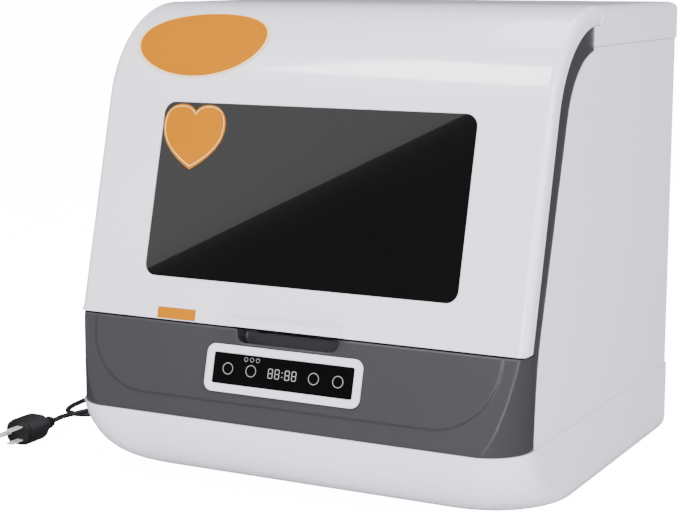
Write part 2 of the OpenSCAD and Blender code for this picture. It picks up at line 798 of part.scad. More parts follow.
module control_bezel() color(white) on_face(0, bezel_z) difference() {
    union() {
        linear_extrude(bezel_out) round_rect(bezel_w, bezel_h, bezel_r);
        translate([0, 0, -6]) linear_extrude(6.5)
            round_rect(bezel_w - 4 - 2 * fit_gap, bezel_h - 4 - 2 * fit_gap, bezel_r - 2 - fit_gap);
    }
    translate([0, 0, -7]) linear_extrude(20)
        round_rect(bezel_w - 2 * bezel_rim - 4, bezel_h - 2 * bezel_rim - 4, 1);
    translate([0, 0, -1]) linear_extrude(20)
        round_rect(bezel_w - 2 * bezel_rim, bezel_h - 2 * bezel_rim, 2);
}

module display_panel() color(black) on_face(0, bezel_z) translate([0, 0, -1]) linear_extrude(2.2)
    round_rect(bezel_w - 2 * bezel_rim - 2 * fit_gap, bezel_h - 2 * bezel_rim - 2 * fit_gap, 2 - fit_gap);

module control_board() color([0.1, 0.35, 0.15]) on_face(0, bezel_z) {
    translate([0, 0, -7.6]) linear_extrude(1.6) square([bezel_w - 12, bezel_h - 10], center = true);
    for (x = [-53, -30.5, 30, 53]) translate([x, -4, -6]) cylinder(r = 4, h = 5, $fn = 32);
    translate([-14, -5, -6]) cube([28, 10, 4]);
}

// ---------- inside the tub ----------

sump_r = 52;
sump_z = 66;
post_r = 9;
arm_z = tub_floor + arm_up;

module spray_post() color(grey) translate([0, mid_y, 0]) difference() {
    union() {
        translate([0, 0, tub_floor - 2]) cylinder(r = 16, h = 6);
        translate([0, 0, sump_z + 3]) cylinder(r = 10, h = tub_floor - sump_z - 3);
        translate([0, 0, tub_floor + 4]) cylinder(r1 = 15, r2 = post_r + 2, h = arm_up - 10);
        translate([0, 0, arm_z - 6]) cylinder(r = post_r + 2, h = fit_gap);
        translate([0, 0, tub_floor]) cylinder(r = post_r, h = arm_up + 10);
    }
    translate([0, 0, sump_z]) cylinder(r = 5, h = 200);
}

module spray_arm() color(grey) translate([0, mid_y, arm_z - 6 + 2 * fit_gap]) difference() {
    union() {
        cylinder(r = post_r + 6, h = 11);
        for (a = [0, 180]) rotate(a) {
            translate([0, 0, 1]) linear_extrude(8) polygon([[0, -14], [arm_r - 40, -11], [arm_r - 9, -9],
                [arm_r - 9, 9], [arm_r - 40, 11], [0, 14]]);
            translate([arm_r - 9, 0, 1]) cylinder(r = 9, h = 8);
            for (k = [1:5]) translate([k * (arm_r - 14) / 5, 0, 9])
                cylinder(r1 = 4, r2 = 3, h = 1.5, $fn = 32);
        }
    }
    translate([0, 0, -1]) cylinder(r = post_r + 0.08, h = 20);
    for (a = [0, 180], k = [1:5]) rotate(a) translate([k * (arm_r - 14) / 5, 0, 7])
        cylinder(r = 1.2, h = 5, $fn = 24);
}

nut_z = arm_z - 6 + 2 * fit_gap + 11 + fit_gap;

module spray_nut() color(grey) translate([0, mid_y, 0]) difference() {
    union() {
        translate([0, 0, nut_z]) cylinder(r = 14, h = 5);
        translate([0, 0, nut_z + 5]) cylinder(r1 = 13, r2 = 9, h = 4);
    }
    translate([0, 0, nut_z - 1]) cylinder(r = post_r, h = tub_floor + arm_up + 10 - nut_z + 1);
}

cup_x = 34;
cup_y = 0;
cup_r = 14;

module filter_plate() color(steel) translate([0, mid_y, tub_floor]) difference() {
    cylinder(r = sump_r + 8, h = 1.5);
    translate([0, 0, -1]) cylinder(r = 16 + fit_gap, h = 4);
    translate([cup_x, cup_y, -1]) cylinder(r = cup_r + fit_gap, h = 4);
    for (a = [40:20:320], q = [26, 34, 42, 50]) rotate(a) translate([q, 0, -1])
        cylinder(r = 2, h = 4, $fn = 24);
}

module filter_cup() color(grey) translate([cup_x, mid_y + cup_y, 0]) difference() {
    union() {
        translate([0, 0, tub_floor - 26]) cylinder(r = cup_r, h = 26 + 1.5);
        translate([0, 0, tub_floor + 1.5 + fit_gap]) cylinder(r = cup_r + 3, h = 2.5);
        translate([0, 0, tub_floor + 1.5]) cylinder(r = cup_r, h = 1);
        translate([-cup_r + 2, -1.5, tub_floor + 4]) cube([2 * cup_r - 4, 3, 7]);
    }
    translate([0, 0, tub_floor - 24]) cylinder(r = cup_r - 2, h = 24);
}

heater_r = 88;
heater_z = tub_floor + 7;

module heater_ring() color(steel) translate([0, mid_y, heater_z]) {
    rotate([0, 0, 100]) rotate_extrude(angle = 340, $fn = 96) translate([heater_r, 0]) circle(3.2, $fn = 24);
    for (a = [100, 80]) rotate(a) translate([heater_r, 0, -7]) cylinder(r = 3.2, h = 7, $fn = 24);
}

float_x = -tub_x + 28;
float_y = tub_y0 + 34;
float_r = 5;
float_hole = 9;

module float_guide() color(grey) translate([float_x, float_y, 0]) difference() {
    union() {
        translate([0, 0, tub_floor - wall - 20]) cylinder(r = float_hole - 0.2, h = 20 + wall + 4);
        translate([0, 0, tub_floor]) cylinder(r = float_hole + 5, h = 2);
    }
    translate([0, 0, tub_floor - wall - 21]) cylinder(r = float_r + 0.08, h = 60);
}

module float_dome() color(white) translate([float_x, float_y, 0]) {
    translate([0, 0, tub_floor - wall - 18]) cylinder(r = float_r, h = 18 + wall + 4 + fit_gap + 1);
    difference() {
        translate([0, 0, tub_floor + 2 + fit_gap]) union() {
            cylinder(r = 18, h = 10);
            translate([0, 0, 10]) cylinder(r1 = 18, r2 = 12, h = 5);
        }
        translate([0, 0, tub_floor + 1]) cylinder(r = float_hole + 1, h = 4 + fit_gap);
    }
}

// Rack of coated wire with a rim, a floor grid and folding rows of tines.
rack_z = tub_floor + rack_up;
rack_x = tub_x - 14;
rack_y0 = tub_y0 + 26;
rack_y1 = tub_y1 - 12;
wire = wire_d / 2;

module wire_loop(z, grow) {
    r = 14;
    x = rack_x + grow;
    y0 = rack_y0 - grow;
    y1 = rack_y1 + min(grow, 4);
    for (s = [-1, 1]) {
        rod([s * x, y0 + r, z], [s * x, y1 - r, z], wire);
    }
    for (y = [y0, y1]) rod([-x + r, y, z], [x - r, y, z], wire);
    for (c = [[x - r, y1 - r, 0], [-x + r, y1 - r, 90], [-x + r, y0 + r, 180], [x - r, y0 + r, 270]])
        translate([c[0], c[1], z]) rotate([0, 0, c[2]]) rotate_extrude(angle = 90, $fn = 48)
            translate([r, 0]) circle(wire, $fn = 24);
}

wires_x = 13;
wires_y = 9;

module rack_frame() color(steel) {
    wire_loop(rack_z, 0);
    wire_loop(rack_z + rack_h, 4);
    rise = rack_z + rack_h;
    low = rack_z + wire;
    thin = wire - 0.2;
    // wires over the floor, with uprights at the front and the back
    for (i = [0:wires_x - 1]) {
        x = -rack_x + 20 + (2 * rack_x - 40) * i / (wires_x - 1);
        rod([x, rack_y0 - 1.2, low], [x, rack_y1 + 1.2, low], wire);
        rod([x, rack_y0, low], [x, rack_y0 - 4, rise], thin);
        rod([x, rack_y1, low], [x, rack_y1 + 4, rise], thin);
    }
    // uprights at the sides, and the legs
    for (s = [-1, 1], j = [0:wires_y - 1]) {
        y = rack_y0 + 20 + (rack_y1 - rack_y0 - 40) * j / (wires_y - 1);
        rod([s * rack_x, y, rack_z], [s * (rack_x + 4), y, rise], thin);
    }
    for (s = [-1, 1], y = [rack_y0 + 32, rack_y1 - 32])
        rod([s * rack_x, y, tub_floor], [s * rack_x, y, rack_z], wire + 0.6);
}

tine_rows = 3;
tine_n = 9;
tine_z = rack_z + 1.5 * wire_d + fit_gap;

module rack_tines() color(steel)
    for (r = [0:tine_rows - 1]) {
        y = rack_y0 + 60 + (rack_y1 - rack_y0 - 100) * r / (tine_rows - 1);
        x0 = -rack_x + 90;
        x1 = rack_x - 20;
        rod([x0, y, tine_z], [x1, y, tine_z], wire);
        for (k = [0:tine_n - 1]) {
            x = x0 + 8 + (x1 - x0 - 16) * k / (tine_n - 1);
            rod([x, y, tine_z], [x, y + 6, rack_z + 60], wire);
        }
    }

basket_w = 58;
basket_l = 150;
basket_h = 84;

basket_x = -rack_x + 12;
basket_y = rack_y1 - 20 - basket_l;
basket_z = rack_z + wire_d + fit_gap;

module cutlery_basket() color(grey) translate([basket_x, basket_y, basket_z]) difference() {
    cube([basket_w, basket_l, basket_h]);
    for (k = [0:2]) translate([2.5, 2.5 + k * (basket_l - 2.5) / 3, 3])
        cube([basket_w - 5, (basket_l - 2.5) / 3 - 2.5, basket_h]);
    for (k = [0:8]) translate([-1, 9 + k * 15.5, 14]) cube([basket_w + 2, 7, 50]);
    for (k = [0:2]) translate([10 + k * 15, -1, 14]) cube([7, basket_l + 2, 50]);
}

// ---------- under and behind the tub ----------

module sump() color(grey) translate([0, mid_y, 0]) difference() {
    union() {
        translate([0, 0, sump_z]) cylinder(r = sump_r + 3, h = tub_floor - wall - sump_z - 3);
        translate([0, 0, tub_floor - wall - 3]) cylinder(r = sump_r + 12, h = 3);
    }
    translate([0, 0, sump_z + 3]) cylinder(r = sump_r, h = 60);
}

pump_z = 44;

module wash_pump() color(black) {
    translate([40, mid_y + 10, pump_z]) rotate([0, 90, 0]) cylinder(r = 20, h = 24);
    translate([64, mid_y + 10, pump_z]) rotate([0, 90, 0]) cylinder(r = 30, h = 78);
    translate([142, mid_y + 10, pump_z]) rotate([0, 90, 0]) cylinder(r = 12, h = 10);
    for (x = [72, 122]) translate([x, mid_y - 15, floor_in]) cube([10, 50, 14]);
}

pipe_r = 12;

module wash_pipe() color(grey) {
    translate([0, mid_y, pump_z - pipe_r - 2]) cylinder(r = pipe_r + 2, h = sump_z - pump_z + pipe_r + 2);
    translate([0, mid_y, pump_z]) rotate([0, 90, 0]) cylinder(r = pipe_r, h = 40);
}

module drain_pump() color(black) {
    translate([-128, mid_y + 60, pump_z]) rotate([0, 90, 0]) cylinder(r = 24, h = 50);
    translate([-78, mid_y + 60, pump_z]) rotate([0, 90, 0]) cylinder(r = 17, h = 14);
    translate([-118, mid_y + 45, floor_in]) cube([30, 30, 16]);
}

inlet_side = 95;
inlet_x = side_x - inlet_side;
drain_x = inlet_x - 60;
boss_y = panel_back - wall;

collar = 2;

// A pipe inside, a flange behind the panel, a neck through it, a collar, and the pin for the hose.
module hose_spigot(x, r) translate([x, 0, spigot_z]) rotate([-90, 0, 0]) {
    translate([0, 0, boss_y - 16]) cylinder(r = r - 0.8, h = 16);
    translate([0, 0, boss_y - 4]) cylinder(r = r + 5, h = 4);
    translate([0, 0, boss_y]) cylinder(r = r + collar, h = cover_back - boss_y);
    translate([0, 0, cover_back]) cylinder(r = r, h = spigot_out);
}

module drain_spigot() color(grey) difference() {
    hose_spigot(drain_x, drain_r);
    translate([drain_x, boss_y - 17, spigot_z]) rotate([-90, 0, 0]) cylinder(r = drain_r - 2.5, h = 80);
}

module inlet_spigot() color(steel) difference() {
    hose_spigot(inlet_x, inlet_r);
    translate([inlet_x, boss_y - 17, spigot_z]) rotate([-90, 0, 0]) cylinder(r = inlet_r - 2.5, h = 80);
}

module inlet_valve() color(white) {
    translate([inlet_x - 18, boss_y - 16 - 24, spigot_z - 16]) cube([36, 24, 32]);
    translate([inlet_x, boss_y - 28, spigot_z + 16]) cylinder(r = 10, h = 14);
}

tank_z = 140;

module water_tank() color([0.85, 0.88, 0.9])
    translate([-rear_x + 14, tub_y1 + fit_gap, tank_z]) difference() {
        cube([2 * rear_x - 28, tub_back - wall - 7, 150]);
        translate([wall, wall, wall])
            cube([2 * rear_x - 28 - 2 * wall, tub_back - wall - 7 - 2 * wall, 150 - 2 * wall]);
    }

module power_board() color([0.1, 0.35, 0.15]) {
    translate([100, front_y + 90, floor_in]) cube([80, 60, 6]);
    translate([110, front_y + 100, floor_in + 6]) cube([24, 30, 18]);
    translate([142, front_y + 104, floor_in + 6]) cylinder(r = 8, h = 22);
}

// ---------- mains lead ----------

gland_neck = 6;
cord_r = cord_d / 2;
rest_z = cord_r + 0.1;

module cord_gland() color(black) translate([-cord_x, cover_back, cord_z]) rotate([-90, 0, 0]) {
    translate([0, 0, -base_wall - 4]) cylinder(r = gland_neck - 0.05, h = base_wall + 4);
    cylinder(r = 9, h = 3);
    translate([0, 0, 3]) cylinder(r1 = 6.2, r2 = cord_r + 0.9, h = relief_l - 3);
}

// Route of the lead before the coil, from the strain relief down to the floor.
start_route = [[-150, 223, 42], [-150, 235, 41], [-150, 248, 36], [-150, 260, 27],
    [-150, 272, 17], [-150, 284, 8], [-150, 296, 3], [-150, 305, 2.6]];

// Route of the lead from the coil to the plug, round the left side.
run_route = [[-188, 343, 8.2], [-205, 343, 7], [-225, 342, 4.2], [-245, 338, 2.6],
    [-264, 328, 2.6], [-279, 312, 2.6], [-288, 290, 2.6], [-290, 262, 2.6], [-290, 230, 2.6],
    [-289, 190, 2.6], [-289, 150, 2.6], [-291, 110, 2.6], [-296, 70, 2.6], [-302, 40, 2.6],
    [-306, 15, 2.6], [-311, -8, 2.6], [-320, -25, 2.6], [-332, -34, 2.6], [-345, -34, 2.6],
    [-356, -26, 2.6], [-362, -10, 2.6], [-365, 15, 2.6], [-366, 40, 2.6], [-360, 57, 2.6],
    [-346, 66, 2.6], [-331, 62, 2.6], [-321, 49, 2.6], [-318, 28, 3.6], [-318, 5, 6.4],
    [-319, -18, 8.4], [-321, -36, 9], [-324, -52, 9.5], [-325, -66, 10.4], [-323, -80, 12],
    [-320, -92, 13], [-319, -102, 13]];

// A smooth curve through the route's points.
function curve_at(p, i, u) =
    let(n = len(p), a = p[max(i - 1, 0)], b = p[i], c = p[min(i + 1, n - 1)], d = p[min(i + 2, n - 1)])
    0.5 * (2 * b + (c - a) * u + (2 * a - 5 * b + 4 * c - d) * u * u + (3 * b - a - 3 * c + d) * u * u * u);
function curve(p, steps) = concat(
    [for (i = [0:len(p) - 2], k = [0:steps - 1]) curve_at(p, i, k / steps)], [p[len(p) - 1]]);
function unit(v) = v / norm(v);
function heading(p, i) = unit(p[min(i + 1, len(p) - 1)] - p[max(i - 1, 0)]);

module tube(p, r, sides, first, last) {
    n = len(p);
    points = [for (i = [0:n - 1]) let(t = i == 0 ? first : i == n - 1 ? last : heading(p, i),
            s = unit(cross(t, [0, 0, 1])), u = cross(s, t))
        each [for (k = [0:sides - 1]) let(a = 360 * (k + 0.5) / sides) p[i] + r * (cos(a) * s + sin(a) * u)]];
    walls = [for (i = [0:n - 2], k = [0:sides - 1]) let(j = (k + 1) % sides)
        each [[i * sides + k, (i + 1) * sides + j, i * sides + j],
              [i * sides + k, (i + 1) * sides + k, (i + 1) * sides + j]]];
    caps = concat([for (k = [1:sides - 2]) [0, k, k + 1]],
        [for (k = [1:sides - 2]) [(n - 1) * sides, (n - 1) * sides + k + 1, (n - 1) * sides + k]]);
    polyhedron(points, concat(walls, caps), convexity = 10);
}

module cord_start() color(black) tube(curve(start_route, 2), cord_r, 8, [0, 1, 0], [0, 1, 0]);
module cord_run() color(black) tube(curve(run_route, 2), cord_r, 8, [-1, 0, 0], [0, -1, 0]);

// The spare length, wound in two layers: inward on the floor, then outward on top.
coil_turns = 4.25;
coil_r = 33;
coil_step = 6.4;
coil_layer = 5.6;
coil_c = [-183, 310];
coil_rings = 24;
half_in = coil_turns / 2 - 0.25;

function coil_in(s) = s < half_in ? s : s > coil_turns - half_in ? coil_turns - s : half_in;
function coil_rad(s) = coil_r - coil_step * coil_in(s);
function coil_z(s) = let(u = min(1, max(0, (s - half_in) / 0.5))) rest_z + coil_layer * u * u * (3 - 2 * u);
function coil_p(s) = [coil_c.x + coil_rad(s) * cos(360 * s), coil_c.y + coil_rad(s) * sin(360 * s),
    coil_z(s)];
coil_path = concat([[coil_c.x + coil_r, coil_c.y - cord_d, rest_z]],
    [for (i = [0:coil_turns * coil_rings]) coil_p(i / coil_rings)],
    [[coil_c.x - cord_d, coil_c.y + coil_r, rest_z + coil_layer]]);
coil_gap = min([for (i = [1:len(coil_path) - 2], j = [i + coil_rings / 2:1:len(coil_path) - 2])
    norm(coil_path[i] - coil_path[j])]) - cord_d;

module cord_coil() color(black) {
    echo(coil_gap = coil_gap);
    tube(coil_path, cord_r, 6, [0, 1, 0], [-1, 0, 0]);
}

// Plug: moulded body with a ribbed tail, two flat blades and a round earth pin.
plug_p = [-319, -102, 13];
tail_l = 18;
plug_l = 32;
plug_off = 3;
plug_w = 26;
plug_h = 25;
blade_gap = 12.7;
earth_off = 11.9;

module plug_body() color(black) translate(plug_p) rotate([90, 0, 0]) {
    for (k = [0:2]) translate([0, 0, 1 + k * 4]) cylinder(r1 = 5.2, r2 = 6.2, h = 2.6, $fn = 32);
    cylinder(r1 = 4, r2 = 5.6, h = tail_l, $fn = 32);
    translate([0, 0, 12]) cylinder(r = 8, h = tail_l - 12, $fn = 32);
    translate([-plug_off, 0, tail_l]) linear_extrude(plug_l) round_rect(plug_w, plug_h - 2, 9);
    translate([-plug_off, 0, tail_l + 4]) linear_extrude(plug_l - 8) round_rect(plug_w + 2, plug_h, 10);
}

module plug_blades() color(steel) translate(plug_p) rotate([90, 0, 0]) translate([0, 0, tail_l + plug_l]) {
    for (s = [-1, 1]) difference() {
        translate([-plug_off, s * blade_gap / 2 - 0.75, 0]) cube([6.3, 1.5, 17]);
        translate([0.15, s * blade_gap / 2 + 2, 13]) rotate([90, 0, 0]) cylinder(r = 1.6, h = 4, $fn = 24);
    }
    translate([-earth_off, 0, 0]) cylinder(r = 2.4, h = 17.5, $fn = 32);
    translate([-earth_off, 0, 17.5]) cylinder(r1 = 2.4, r2 = 1.2, h = 2.5, $fn = 32);
}

base_tray();
feet();
front_frame();
side_panel_left();
side_panel_right();
rear_panel();
top_cover();
tub();
tub_seal();
hinge_brackets();
hinge_screws();
lid_shell();
lid_liner();
window_glass();
inner_window();
hinge_pins();
latch_tongue();
latch_catch();
lid_labels();
control_bezel();
display_panel();
control_board();
spray_post();
spray_arm();
spray_nut();
filter_plate();
filter_cup();
heater_ring();
float_guide();
float_dome();
rack_frame();
rack_tines();
cutlery_basket();
sump();
wash_pump();
wash_pipe();
drain_pump();
drain_spigot();
inlet_valve();
inlet_spigot();
water_tank();
power_board();
rear_screws();
cord_gland();
cord_start();
cord_coil();
cord_run();
plug_body();
plug_blades();
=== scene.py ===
import json
import math
import bpy
import bmesh
from mathutils import Matrix, Vector


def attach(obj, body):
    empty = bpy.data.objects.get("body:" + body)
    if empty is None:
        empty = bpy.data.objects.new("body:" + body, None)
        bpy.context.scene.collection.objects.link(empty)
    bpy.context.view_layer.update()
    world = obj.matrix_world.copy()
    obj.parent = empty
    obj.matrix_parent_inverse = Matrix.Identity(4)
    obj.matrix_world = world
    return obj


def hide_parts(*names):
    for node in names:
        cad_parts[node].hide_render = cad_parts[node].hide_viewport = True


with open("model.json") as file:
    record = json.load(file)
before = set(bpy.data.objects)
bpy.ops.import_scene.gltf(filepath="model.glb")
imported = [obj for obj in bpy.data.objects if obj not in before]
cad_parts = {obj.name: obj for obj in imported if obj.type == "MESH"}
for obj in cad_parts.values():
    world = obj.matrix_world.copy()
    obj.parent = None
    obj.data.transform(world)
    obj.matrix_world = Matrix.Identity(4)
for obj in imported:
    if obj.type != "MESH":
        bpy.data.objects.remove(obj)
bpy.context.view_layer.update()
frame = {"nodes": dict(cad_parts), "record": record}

# The pieces are written in millimetres and turned into metres by MM; camera, lamps and stage are in metres.
MM = 0.001
FULL_TURN = 2 * math.pi


# ---------- helpers ----------

def new_object(name, data):
    obj = bpy.data.objects.new(name, data)
    bpy.context.collection.objects.link(obj)
    return obj


def add_piece(name, mesh, body, mat):
    """A finished mesh that rides on a body, with its material."""
    obj = new_object(name, mesh)
    mesh.materials.append(mat)
    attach(obj, body)
    return obj


def look(obj, forward):
    """Turn a camera or a lamp to look along a direction."""
    obj.rotation_euler = Vector(forward).to_track_quat("-Z", "Y").to_euler()


def to_mesh(bm, name):
    """The finished mesh, with all its faces turned outward."""
    bmesh.ops.recalc_face_normals(bm, faces=bm.faces)
    mesh = bpy.data.meshes.new(name)
    bm.to_mesh(mesh)
    bm.free()
    return mesh


# ---------- camera: fitted to the photograph ----------

PHOTO_FOCAL, PHOTO_MID = 1715.4, (339.5, 256.5)  # in pixels of the photograph

cam_data = bpy.data.cameras.new("camera")
cam_data.sensor_width = 36.0
cam_data.lens = 90.95
cam_data.clip_start = 0.01
cam_data.clip_end = 60.0
cam_data.dof.use_dof = False
cam = new_object("camera", cam_data)
cam.location = (0.69766, -1.42918, 0.45358)
look(cam, (-0.4576, 0.8738, -0.1648))
bpy.context.scene.camera = cam


# ---------- mains lead: the route of the CAD's cord, as one smooth curve ----------

CORD_D = 5.0
START = [(-150, 223, 42), (-150, 235, 41), (-150, 248, 36), (-150, 260, 27),
         (-150, 272, 17), (-150, 284, 8), (-150, 296, 3), (-150, 305, 2.6)]
RUN = [(-188, 343, 8.2), (-205, 343, 7), (-225, 342, 4.2), (-245, 338, 2.6),
       (-264, 328, 2.6), (-279, 312, 2.6), (-288, 290, 2.6), (-290, 262, 2.6), (-290, 230, 2.6),
       (-289, 190, 2.6), (-289, 150, 2.6), (-291, 110, 2.6), (-296, 70, 2.6), (-302, 40, 2.6),
       (-306, 15, 2.6), (-311, -8, 2.6), (-320, -25, 2.6), (-332, -34, 2.6), (-345, -34, 2.6),
       (-356, -26, 2.6), (-362, -10, 2.6), (-365, 15, 2.6), (-366, 40, 2.6), (-360, 57, 2.6),
       (-346, 66, 2.6), (-331, 62, 2.6), (-321, 49, 2.6), (-318, 28, 3.6), (-318, 5, 6.4),
       (-319, -18, 8.4), (-321, -36, 9), (-324, -52, 9.5), (-325, -66, 10.4), (-323, -80, 12),
       (-320, -92, 13), (-319, -102, 13)]
TURNS, COIL_R, COIL_MID = 4.25, 33.0, (-183, 310)
STEP_IN, LAYER_UP = 6.4, 5.6  # from one turn of the coil to the next, and from its lower layer to its upper
POINTS_A_TURN = 24
SMOOTHING = 4
REST_Z = CORD_D / 2 + 0.1
TURNS_IN = TURNS / 2 - 0.25  # the half turn between winding in and winding out climbs to the upper layer


def catmull(p, steps):
    """Catmull-Rom curve through the points."""
    out = []
    n = len(p)
    for i in range(n - 1):
        a, b, c, d = (Vector(p[j]) for j in (max(i - 1, 0), i, i + 1, min(i + 2, n - 1)))
        for k in range(steps):
            u = k / steps
            out.append(0.5 * (2 * b + (c - a) * u + (2 * a - 5 * b + 4 * c - d) * u * u
                              + (3 * b - a - 3 * c + d) * u ** 3))
    out.append(Vector(p[-1]))
    return out


def coil_point(s):
    """Point of the coil after s turns: it winds inward, climbs a layer and winds out again."""
    inward = s if s < TURNS_IN else (TURNS - s if s > TURNS - TURNS_IN else TURNS_IN)
    r = COIL_R - STEP_IN * inward
    u = min(1.0, max(0.0, (s - TURNS_IN) / 0.5))
    a = FULL_TURN * s
    return Vector((COIL_MID[0] + r * math.cos(a), COIL_MID[1] + r * math.sin(a),
                   REST_Z + LAYER_UP * u * u * (3 - 2 * u)))


coil = [coil_point(i / POINTS_A_TURN) for i in range(int(TURNS * POINTS_A_TURN) + 1)]
lead_pts = [p * MM for p in catmull(START, SMOOTHING) + coil + catmull(RUN, SMOOTHING)]

lead_curve = bpy.data.curves.new("mains_lead", "CURVE")
lead_curve.dimensions = "3D"
lead_curve.bevel_depth = CORD_D / 2 * MM
lead_curve.bevel_resolution = 5
lead_curve.use_fill_caps = True
spline = lead_curve.splines.new("POLY")
spline.points.add(len(lead_pts) - 1)
for sp, p in zip(spline.points, lead_pts):
    sp.co = (*p, 1.0)
spline.use_smooth = True


# ---------- materials ----------

def material(name, color, rough, metal=0.0, coat=0.0, grain=900.0, bump=0.03,
             bevel=0.0006, tone=0.04, rough_span=0.06, shine=0.5):
    """Moulded or metal surface: colour and roughness that vary a little, fine grain and soft edges."""
    m = bpy.data.materials.new(name)
    m.use_nodes = True
    nt = m.node_tree
    nt.nodes.clear()
    out = nt.nodes.new("ShaderNodeOutputMaterial")
    bs = nt.nodes.new("ShaderNodeBsdfPrincipled")
    nt.links.new(bs.outputs["BSDF"], out.inputs["Surface"])
    co = nt.nodes.new("ShaderNodeTexCoord")
    big = nt.nodes.new("ShaderNodeTexNoise")
    big.inputs["Scale"].default_value = 14.0
    big.inputs["Detail"].default_value = 4.0
    nt.links.new(co.outputs["Object"], big.inputs["Vector"])
    ramp = nt.nodes.new("ShaderNodeValToRGB")
    low, high = ramp.color_ramp.elements
    low.position, high.position = 0.3, 0.7
    low.color = (*(c * (1 - tone) for c in color), 1)
    high.color = (*(min(1.0, c * (1 + tone)) for c in color), 1)
    nt.links.new(big.outputs["Fac"], ramp.inputs["Fac"])
    nt.links.new(ramp.outputs["Color"], bs.inputs["Base Color"])
    fine = nt.nodes.new("ShaderNodeTexNoise")
    fine.name = "grain"
    fine.inputs["Scale"].default_value = grain
    fine.inputs["Detail"].default_value = 3.0
    nt.links.new(co.outputs["Object"], fine.inputs["Vector"])
    span = nt.nodes.new("ShaderNodeMapRange")
    span.inputs["To Min"].default_value = max(0.0, rough - rough_span / 2)
    span.inputs["To Max"].default_value = rough + rough_span / 2
    nt.links.new(fine.outputs["Fac"], span.inputs["Value"])
    nt.links.new(span.outputs["Result"], bs.inputs["Roughness"])
    bp = nt.nodes.new("ShaderNodeBump")
    bp.inputs["Strength"].default_value = bump
    bp.inputs["Distance"].default_value = 0.0004
    nt.links.new(fine.outputs["Fac"], bp.inputs["Height"])
    if bevel:
        bv = nt.nodes.new("ShaderNodeBevel")
        bv.samples = 6
        bv.inputs["Radius"].default_value = bevel
        nt.links.new(bv.outputs["Normal"], bp.inputs["Normal"])
    nt.links.new(bp.outputs["Normal"], bs.inputs["Normal"])
    bs.inputs["Metallic"].default_value = metal
    bs.inputs["Specular IOR Level"].default_value = shine
    bs.inputs["Coat Weight"].default_value = coat
    bs.inputs["Coat Roughness"].default_value = 0.08
    return m


def node_of(mat, kind):
    """The first node of a kind in a material."""
    return next(n for n in mat.node_tree.nodes if n.type == kind)


def brushed(name, color, rough):
    """Steel with fine drawn lines along X."""
    m = material(name, color, rough, metal=1.0, grain=500.0, bump=0.04, tone=0.05, rough_span=0.12)
    nt = m.node_tree
    draw = nt.nodes.new("ShaderNodeMapping")
    draw.inputs["Scale"].default_value = (1.0, 60.0, 60.0)
    nt.links.new(node_of(m, "TEX_COORD").outputs["Object"], draw.inputs["Vector"])
    nt.nodes["grain"].inputs["Scale"].default_value = 60.0
    nt.links.new(draw.outputs["Vector"], nt.nodes["grain"].inputs["Vector"])
    return m


MAT = {
    "white_shell": material("white_shell", (0.680, 0.655, 0.765), 0.30, coat=0.7, grain=420.0, bump=0.02,
                            tone=0.012, bevel=0.0014),
    "white_inner": material("white_inner", (0.76, 0.76, 0.78), 0.45, bump=0.05, tone=0.02),
    "grey_shell": material("grey_shell", (0.026, 0.0255, 0.0295), 0.38, coat=0.12, grain=700.0, bump=0.05,
                           tone=0.03, bevel=0.0030),
    "grey_inner": material("grey_inner", (0.20, 0.205, 0.215), 0.48, bump=0.06, tone=0.03),
    "window": material("window", (0.0015, 0.0015, 0.0017), 0.012, coat=0.5, grain=90.0, bump=0.004,
                       tone=0.10, rough_span=0.008, bevel=0.0004),
    "inner_pane": material("inner_pane", (0.02, 0.02, 0.022), 0.10, grain=90.0, bump=0.004,
                           rough_span=0.03),
    "display": material("display", (0.0008, 0.0008, 0.001), 0.14, grain=120.0, bump=0.006,
                        rough_span=0.04, bevel=0.0004),
    "rubber": material("rubber", (0.009, 0.009, 0.0095), 0.70, grain=1400.0, bump=0.20, tone=0.10),
    "lead": material("lead", (0.006, 0.006, 0.007), 0.46, grain=1600.0, bump=0.12, tone=0.10),
    "steel": brushed("steel", (0.62, 0.63, 0.64), 0.32),
    "coated_wire": material("coated_wire", (0.62, 0.63, 0.65), 0.34, grain=800.0, bump=0.04),
    "blades": material("blades", (0.78, 0.77, 0.74), 0.30, metal=0.45, grain=700.0),
    "black_plastic": material("black_plastic", (0.010, 0.010, 0.011), 0.50, grain=1000.0, bump=0.10,
                              tone=0.08),
    "labels": material("labels", (0.37, 0.120, 0.0), 0.60, grain=1500.0, bump=0.02, tone=0.03,
                       bevel=0.0, shine=0.0),
    "board": material("board", (0.02, 0.11, 0.05), 0.40, grain=800.0, bump=0.08, tone=0.12),
    "tank": material("tank", (0.70, 0.73, 0.76), 0.38, grain=500.0, bump=0.04, tone=0.03),
}
for sub in frame["record"]["subparts"]:
    mesh = frame["nodes"][sub["node"]].data
    mesh.materials.clear()
    mesh.materials.append(MAT[sub["material_slot"]])

lead = add_piece("mains_lead", lead_curve, "body", MAT["lead"])
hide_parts("cord_start", "cord_coil", "cord_run")


# ---------- the leaning face and the crown above it, as in the CAD ----------

LEAN = math.radians(14.7)
FRONT_Y, CHIN, SEAM_Z = -213.0, 0.7, 71.0
CROWN_R, TOTAL_H = 110.0, 424.0
CROWN_Z = TOTAL_H - CROWN_R
LID_Z = 151.0


def face_y(z):
    """How far back the leaning face lies at a height."""
    return FRONT_Y + CHIN + math.tan(LEAN) * (z - SEAM_Z)


CROWN_Y = face_y(CROWN_Z) + CROWN_R / math.cos(LEAN)


def on_face(x, z, out=0.0):
    """Frame on the face in mm: x across, y up along it, z outward."""
    m = Matrix(((1, 0, 0, x),
                (0, math.sin(LEAN), -math.cos(LEAN), face_y(z)),
                (0, math.cos(LEAN), math.sin(LEAN), z),
                (0, 0, 0, 1)))
    return m @ Matrix.Translation((0, 0, out))


